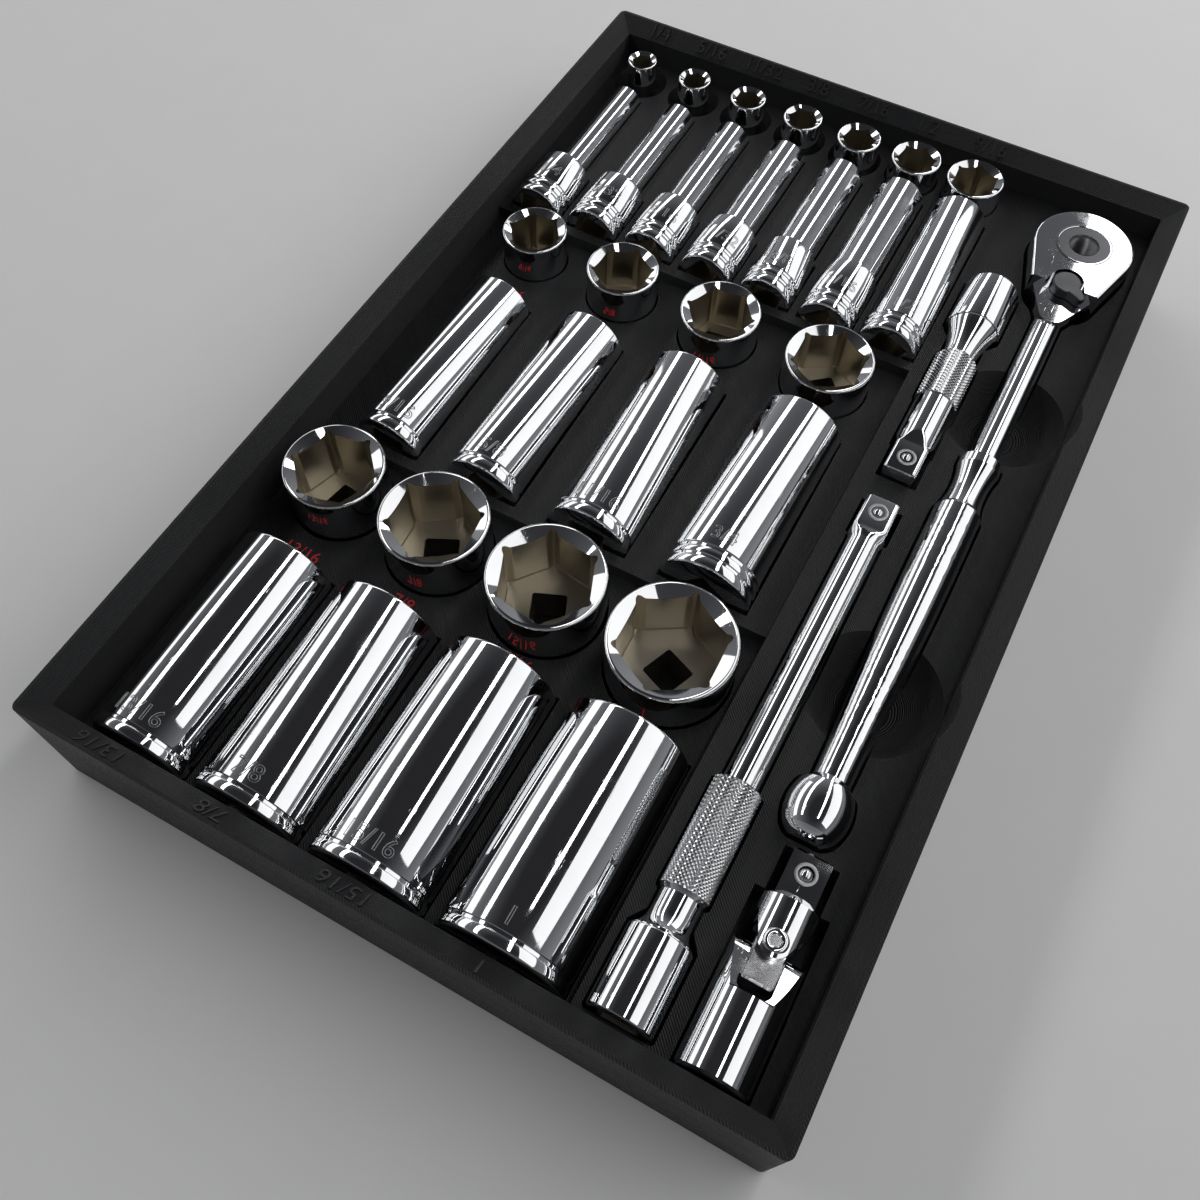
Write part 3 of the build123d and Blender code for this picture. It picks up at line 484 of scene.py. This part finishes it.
def socket_rings(mark, length, drive_radius, hex_radius, shoulder, deep):
    """From the mouth of the hexagon over the lip, down the outside and up through the drive square."""
    flats = size_of(mark)
    hex_turn, square_turn = socket_turns[mark]
    square_turn = nearest_turn(square_turn + 45, hex_turn, 90)
    half_turn = (hex_turn + square_turn) / 2
    lip = hex_radius * 0.045 + 0.25
    mouth_radius = hex_radius - lip

    def cone(radius):
        return length - 0.06 - max(mouth_radius - radius, 0.0) * mouth_slope

    rings = [("hex", flats / 2, cone, hex_turn, SATIN)]
    rings.append(("round", mouth_radius, length - 0.05, hex_turn, PLATE))
    for radius, height in rounded(hex_radius, length, lip, 0):
        rings.append(("round", radius, height, hex_turn, PLATE))
    if drive_radius > hex_radius + 0.05:
        taper = drive_radius - hex_radius
        top, bottom = shoulder + taper * 0.55, shoulder - taper * 0.45
        taper_steps = 8
        for step in range(taper_steps + 1):
            share = step / taper_steps
            ease = (1 - cos(pi * share)) / 2
            rings.append(("round", hex_radius + taper * ease, top + (bottom - top) * share, hex_turn, PLATE))
    for depth, height in (upper_groove if hex_radius < drive_radius else ()) + lower_groove:
        rings.append(("round", drive_radius - depth, height, half_turn, PLATE))
    for radius, height in rounded(drive_radius, 0.0, 1.0, 1):
        rings.append(("round", radius, height, half_turn, PLATE))
    rings.append(("round", 7.6, 0.0, square_turn, PLATE))
    rings.append(("square", drive_half + 0.5, 0.0, square_turn, PLATE))
    rings.append(("square", drive_half, 0.5, square_turn, SATIN))
    if flats >= smallest_open_web:
        rings.append(("square", drive_half, web_top, square_turn, SATIN))
    else:
        pilot = min(flats, 2 * drive_half) / 2 * 0.8
        rings.append(("square", drive_half, drive_depth, square_turn, SATIN))
        rings.append(("round", pilot, drive_depth, half_turn, SATIN))
        rings.append(("round", pilot, web_top, half_turn, SATIN))
    if deep:
        bore = flats / 2 * 0.96
        rings.append(("round", bore, web_top, half_turn, SATIN))
        rings.append(("round", bore, length - deep_hex_depth, hex_turn, SATIN))
        rings.append(("hex", flats / 2, length - deep_hex_depth + 0.3, hex_turn, SATIN))
    else:
        if flats >= smallest_open_web:
            rings.append(("round", (flats / 2 + drive_half * SQUARE_CORNER) / 2, web_top, half_turn, SATIN))
        rings.append(("hex", flats / 2 - 0.2, web_top, hex_turn, SATIN))
        rings.append(("hex", flats / 2, web_top + 0.3, hex_turn, SATIN))
    return rings


def make_sockets():
    """A plated shell for each socket: shallow ones stand on the drive end, deep ones lie along the tray."""
    for node in sorted(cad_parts):
        if "_socket_" not in node:
            continue
        low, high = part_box(node)
        mark = node.split("_socket_")[1]
        centre = (low + high) / 2
        deep = node.startswith("deep")
        drive_radius = (high.x - low.x) / MM / 2
        hex_radius = hex_radius_by_mark[mark]
        if deep:
            length = (high.y - low.y) / MM
            seat = seat_matrix((centre.x, low.y, centre.z), (1, 0, 0), (0, 1, 0))
            shoulder = deep_shoulder
        else:
            length = (high.z - low.z) / MM
            seat = seat_matrix((centre.x, centre.y, low.z), (1, 0, 0), (0, 0, 1))
            shoulder = shallow_shoulder
        rings = socket_rings(mark, length, drive_radius, hex_radius, shoulder, deep)
        piece = drawn_shell(node + "_plated", rings, (chrome, satin_nickel), seat)
        belongs(piece, node, "socket_chrome", node)


make_sockets()


# ---------------------------------------------------------------- extensions
# lengths in millimetres; heights are counted from the tip of the male square
male_half = 4.75
male_corner = 6.2
flat_end = 11.0  # from here the flats rise, by flat_rise for each millimetre
flat_rise = 0.27
corner_end = 10.5  # from here the corners fall, by corner_fall for each millimetre
corner_fall = 0.55
shaft_start = 17.5
female_half = 4.8
female_depth = 12.0
female_radius = 8.25
knurl_radius = 6.3
long_extension = {"shaft": 4.65, "knurl": (91.8, 29.0), "neck": 5.4, "flare": 5.0, "female": 20.6}
short_extension = {"shaft": 5.8, "knurl": (30.0, 18.0), "neck": 5.0, "flare": 12.0, "female": 19.0}


def extension_rings(shape, length):
    """From the tip of the male square along the outside to the floor of the drive socket."""
    shaft = shape["shaft"]
    knurl_start, knurl_length = shape["knurl"]
    knurl_end = knurl_start + knurl_length
    female_start = length - shape["female"]
    turn = 45
    rings = [("round", 0.0, 0.0, turn, PLATE)]
    rings += [("milled", (male_half - 0.75, male_corner - 0.9), 0.0, turn, PLATE)]
    rings += [("milled", (male_half - 0.25, male_corner - 0.3), 0.3, turn, PLATE)]
    rings += [("milled", (male_half, male_corner), 0.8, turn, PLATE)]
    # the flats run out on a ramp, and the corners fall to the shaft
    for step in range(13):
        height = 10.0 + 0.5 * step
        flat = male_half + max(height - flat_end, 0.0) * flat_rise
        corner = max(shaft, male_corner - max(height - corner_end, 0.0) * corner_fall)
        rings.append(("milled", (flat, corner), height, turn, PLATE))
    neck = shape["neck"]
    core = knurl_radius - 0.5
    profile = ((shaft, shaft_start), (shaft, knurl_start - 0.3), (core, knurl_start + 0.1),
               (core, knurl_end - 0.1), (neck + 0.7, knurl_end + 0.1), (neck + 0.5, knurl_end + 0.5),
               (neck, knurl_end + 1.2))
    for radius, height in profile:
        rings.append(("round", radius, height, turn, PLATE))
    flare_start = female_start - shape["flare"]
    flare_steps = 10
    for step in range(flare_steps + 1):
        share = step / flare_steps
        radius = neck + (female_radius - 0.5 - neck) * share**2.2
        rings.append(("round", radius, flare_start + shape["flare"] * share, turn, PLATE))
    for radius, height in rounded(female_radius, female_start + 0.2, 0.5, 1)[::-1]:
        rings.append(("round", radius, height, turn, PLATE))
    for radius, height in rounded(female_radius, length, 0.8, 0)[::-1]:
        rings.append(("round", radius, height, turn, PLATE))
    rings += [("round", 7.0, length, turn, PLATE), ("square", female_half + 0.5, length, turn, PLATE)]
    rings.append(("square", female_half, length - 0.5, turn, SATIN))
    rings.append(("square", female_half, length - female_depth, turn, SATIN))
    rings.append(("round", 0.0, length - female_depth, turn, SATIN))
    return rings


def knurl_rings(start, length):
    """A sleeve of diamond points whose rows are as far apart as its points."""
    sides = 68
    pitch = 2 * pi * knurl_radius / sides
    rows = int(length / pitch)
    inner = knurl_radius - 0.8
    valley = knurl_radius - KNURL_DEPTH
    rings = [("round", inner, start, 0, PLATE), ("round", valley, start, 0, PLATE)]
    for row in range(rows + 1):
        kind = "knurled" + "_" * (row % 2)
        rings.append((kind, knurl_radius, start + 0.15 + (length - 0.3) * row / rows, 0, PLATE))
    rings += [("round", valley, start + length, 0, PLATE), ("round", inner, start + length, 0, PLATE)]
    return rings, sides


def make_extensions():
    """The two bars with their sleeves: the long one's tip points away, the short one's to the near wall."""
    bars = (("long_extension", long_extension, -1), ("short_extension", short_extension, 1))
    for node, shape, facing in bars:
        low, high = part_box(node)
        centre = (low + high) / 2
        tip = low.y if facing > 0 else high.y
        seat = seat_matrix((centre.x, tip, centre.z), (1, 0, 0), (0, facing, 0))
        rings = extension_rings(shape, (high.y - low.y) / MM)
        bar = drawn_shell(node + "_plated", rings, (chrome, satin_nickel), seat, sides=96, through=False)
        belongs(bar, node, "tool_chrome", node)
        rings, sides = knurl_rings(*shape["knurl"])
        sleeve = drawn_shell(node + "_knurl", rings, (knurled_chrome,), seat, sides=sides, sharp=12.0)
        belongs(sleeve, node, "tool_chrome")


make_extensions()


def turned_ring(name, node, lift, profile, finish, body, sides):
    """A closed ring turned about an upright axis, its zero height a lift in millimetres over a node's top."""
    low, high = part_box(node)
    centre = (low + high) / 2
    seat = seat_matrix((centre.x, centre.y, high.z + lift * MM), (1, 0, 0), (0, 0, 1))
    rings = [("round", radius, height, 0, PLATE) for radius, height in profile]
    belongs(drawn_shell(name, rings, (finish,), seat, sides=sides), body, "tool_chrome")


# the pale ring staked round each detent ball, the rolled rim round the hollow end of the universal joint's
# upper pin, and the bright chamfer round the hole that the drive gear shows through, as (radius, height)
ball_rim = ((1.93, -0.3), (1.93, 0.04), (2.1, 0.09), (2.5, 0.08), (2.75, 0.02), (2.8, -0.3))
pin_rim = ((1.35, -0.7), (1.35, 0.25), (1.55, 0.5), (1.9, 0.62), (2.4, 0.55), (2.8, 0.3), (3.0, -0.1),
           (3.0, -0.7))
gear_rim = ((7.88, -0.6), (7.88, -0.04), (8.1, 0.10), (8.45, 0.10), (8.75, 0.0), (8.75, -0.6))
ball_stands_proud = 0.5  # millimetres
ball_carriers = (("long_extension_detent_ball", "long_extension"),
                 ("short_extension_detent_ball", "short_extension"), ("joint_detent_ball", "joint_male_end"))
for ball, carrier in ball_carriers:
    turned_ring(ball + "_rim", ball, -ball_stands_proud, ball_rim, stamped, carrier, 64)
turned_ring("joint_top_rivet", "joint_top_pin", 0.0, pin_rim, chrome, "joint_male_end", 72)
turned_ring("gear_hole_rim", "drive_gear", 0.1, gear_rim, chrome, "ratchet", 96)


# ---------------------------------------------------------------- numbers
CAPITAL_SHARE = 0.7  # height of a capital as a share of the font's size
SAME_POINT = 1e-4  # millimetres


def number_mesh(text, height, thickness=None, outline=None):
    """A number in millimetres, centred on the origin: a raised plate, or only its outline as a thin wire."""
    curve = bpy.data.curves.new("number", "FONT")
    curve.body = text
    curve.size = height / CAPITAL_SHARE
    curve.resolution_u = 4
    if outline:
        curve.fill_mode = "NONE"
        curve.bevel_depth = outline
        curve.bevel_resolution = 0
    else:
        curve.extrude = thickness / 2
    holder = bpy.data.objects.new("number", curve)
    bpy.context.scene.collection.objects.link(holder)
    drawn = bpy.data.meshes.new_from_object(holder.evaluated_get(bpy.context.evaluated_depsgraph_get()))
    bm = bmesh.new()
    bm.from_mesh(drawn)
    bpy.data.objects.remove(holder)
    bpy.data.curves.remove(curve)
    bpy.data.meshes.remove(drawn)
    bmesh.ops.remove_doubles(bm, verts=bm.verts, dist=SAME_POINT)
    for axis in (0, 1):
        values = [vert.co[axis] for vert in bm.verts]
        middle = (min(values) + max(values)) / 2
        for vert in bm.verts:
            vert.co[axis] -= middle
    return bm


def cut_into_strips(bm, width):
    """Cuts a flat number across at even steps, so that it can be bent round a bar."""
    reach = max(abs(vert.co.x) for vert in bm.verts)
    for step in range(-int(reach / width), int(reach / width) + 1):
        geom = list(bm.verts) + list(bm.edges) + list(bm.faces)
        bmesh.ops.bisect_plane(bm, geom=geom, plane_co=(step * width, 0, 0), plane_no=(1, 0, 0))


# stamps on large and on small deep sockets: height, and the distance of the middle from the drive end
large_stamp, small_stamp = (4.4, 7.6), (4.0, 11.3)
stamp_wire = 0.12


def make_stamps():
    """Sizes stamped round the drive end of each deep socket, read from the near side."""
    for mark, hex_radius in hex_radius_by_mark.items():
        node = "deep_socket_" + mark
        low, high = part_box(node)
        centre = (low + high) / 2
        radius = (high.x - low.x) / MM / 2
        height, along = small_stamp if hex_radius < radius else large_stamp
        bm = number_mesh(mark.replace("_", "/"), height, outline=stamp_wire)
        cut_into_strips(bm, 0.5)
        for vert in bm.verts:
            angle, out = vert.co.x / radius, radius + vert.co.z
            vert.co = (out * sin(angle), -out * cos(angle), along + vert.co.y)
        seat = seat_matrix((centre.x, low.y, centre.z), (1, 0, 0), (0, 1, 0))
        belongs(finished_piece(node + "_stamp", bm, (stamped,), seat), node, "socket_chrome")


def flat_number(name, text, height, thickness, finish, place, u_dir, normal):
    """A raised number on the tray, half sunk into its surface."""
    seat = seat_matrix(place, u_dir, normal)
    piece = finished_piece(name, number_mesh(text, height, thickness), (finish,), seat, 25.0)
    belongs(piece, "tray", "tray_plastic")


rim_fall = 3.5 / 5.2  # the rim's top falls 3.5 mm inwards over 5.2 mm
rim_level = 38.0 - 2.1 * rim_fall  # millimetres, at the middle of the numbers
rim_tilt = atan(rim_fall)
rim_mark = (4.3, 0.5)  # height and thickness in millimetres
deck_mark = (3.5, 0.3)
far_rim_y, near_rim_y = 302.1, 2.9
far_numbers = (("1/4", 17.0), ("5/16", 36.6), ("11/32", 56.4), ("3/8", 76.2), ("7/16", 96.2), ("1/2", 115.6),
               ("9/16", 136.6))
near_numbers = (("13/16", 23.7), ("7/8", 56.2), ("15/16", 92.0), ("1", 127.0))
smallest_on_deck = 9.5  # radius in millimetres of the smallest socket with a red number
# a red number lies this far beyond the deep socket, or this far before the shallow one where that is nearer
beyond_deep, before_shallow, deck_shift = 5.0, 2.45, 0.5


def tray_place(x, y, z):
    """A point measured in millimetres from the tray's near left corner."""
    return Vector((x * MM + cad_box[0][0], y * MM + cad_box[0][1], z * MM))


def make_labels():
    """Black numbers on both sloped rims, with their tops outwards, and red ones on the deck."""
    rims = (("far", far_numbers, far_rim_y, 1), ("near", near_numbers, near_rim_y, -1))
    for side, numbers, y, facing in rims:
        normal = (0, -facing * sin(rim_tilt), cos(rim_tilt))
        for text, x in numbers:
            name = side + "_label_" + text.replace("/", "_")
            flat_number(name, text, *rim_mark, black_mark, tray_place(x, y, rim_level), (facing, 0, 0), normal)
    for mark, hex_radius in hex_radius_by_mark.items():
        if hex_radius < smallest_on_deck:
            continue
        low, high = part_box("shallow_socket_" + mark)
        deep_low, deep_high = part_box("deep_socket_" + mark)
        deck = (deep_low.z + deep_high.z) / 2
        y = min(deep_high.y + beyond_deep * MM, low.y - before_shallow * MM)
        place = Vector(((low.x + high.x) / 2 + deck_shift * MM, y, deck))
        name, text = "deck_label_" + mark, mark.replace("_", "/")
        flat_number(name, text, *deck_mark, red_inlay, place, (1, 0, 0), (0, 0, 1))


make_stamps()
make_labels()


# ---------------------------------------------------------------- finishes on the carried-over solids
solid_finishes = {
    "tray": black_plastic,
    "ratchet_body": chrome, "long_extension": chrome, "short_extension": chrome,
    "joint_female_yoke": chrome, "joint_male_yoke": chrome, "reverse_lever": dark_oxide,
    "head_cover": bright_steel, "cover_screws": dark_oxide, "drive_gear": dark_oxide, "pawl": dark_oxide,
    "release_button": dark_oxide,
    "joint_block": bright_steel, "joint_top_pin": bright_steel, "joint_side_pin": bright_steel,
}
for node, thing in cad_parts.items():
    if node.endswith("_spring"):
        finish = spring_steel
    elif node.endswith("_ball"):
        finish = bright_steel
    else:
        finish = solid_finishes.get(node)
    if finish:
        thing.data.materials.clear()
        thing.data.materials.append(finish)


# ---------------------------------------------------------------- floor and light
FLOOR_REACH = 3.0  # metres from the middle to each side


def make_floor():
    """A plain pale floor."""
    bm = bmesh.new()
    bmesh.ops.create_grid(bm, x_segments=1, y_segments=1, size=FLOOR_REACH)
    mesh = bpy.data.meshes.new("floor")
    bm.to_mesh(mesh)
    bm.free()
    material, tree, shader = new_finish("pale_floor")
    clouds = noise(tree, object_place(tree), 60.0, 4.0)
    tint = mixed(tree, clouds, (0.86, 0.86, 0.85, 1), (0.89, 0.89, 0.88, 1))
    tree.links.new(tint, shader.inputs["Base Color"])
    shader.inputs["Roughness"].default_value = 0.75
    mesh.materials.append(material)
    ground = bpy.data.objects.new("floor", mesh)
    bpy.context.scene.collection.objects.link(ground)


def make_world():
    """Grey light from the horizon that fades to near black overhead."""
    world = bpy.data.worlds.new("studio")
    world.use_nodes = True
    tree = world.node_tree
    ramp = tree.nodes.new("ShaderNodeValToRGB")
    ramp.color_ramp.elements[0].position = 0.0
    ramp.color_ramp.elements[0].color = (0.26, 0.265, 0.28, 1)
    ramp.color_ramp.elements[1].position = 0.9
    ramp.color_ramp.elements[1].color = (0.022, 0.022, 0.025, 1)
    split = tree.nodes.new("ShaderNodeSeparateXYZ")
    tree.links.new(tree.nodes.new("ShaderNodeTexCoord").outputs["Generated"], split.inputs[0])
    tree.links.new(split.outputs["Z"], ramp.inputs["Fac"])
    tree.links.new(ramp.outputs["Color"], tree.nodes["Background"].inputs["Color"])
    bpy.context.scene.world = world


LAMP_AIM = Vector((0.0, 0.0, 0.02))


def strip_lamp(name, place, width, length, power):
    """A soft lamp whose long side lies along the tray; lengths in metres, power in watts."""
    data = bpy.data.lights.new(name, "AREA")
    data.shape = "RECTANGLE"
    data.size, data.size_y = width, length
    data.energy = power
    back = (Vector(place) - LAMP_AIM).normalized()
    across = Vector((0, 1, 0)).cross(back).normalized()
    lamp = bpy.data.objects.new(name, data)
    lamp.matrix_world = Matrix.Translation(place) @ axes_matrix(across, back.cross(across), back)
    bpy.context.scene.collection.objects.link(lamp)


make_floor()
make_world()
strip_lamp("bright_strip", (0.16, 0.30, 0.62), 0.07, 1.5, 1.5)
strip_lamp("broad_panel", (0.62, 0.30, 0.62), 0.50, 1.7, 2.9)
strip_lamp("left_strip", (-0.56, 0.30, 0.60), 0.13, 1.7, 2.0)
strip_lamp("low_left", (-1.05, 0.20, 0.35), 0.30, 1.5, 1.6)
bpy.context.scene.view_settings.view_transform = "Standard"
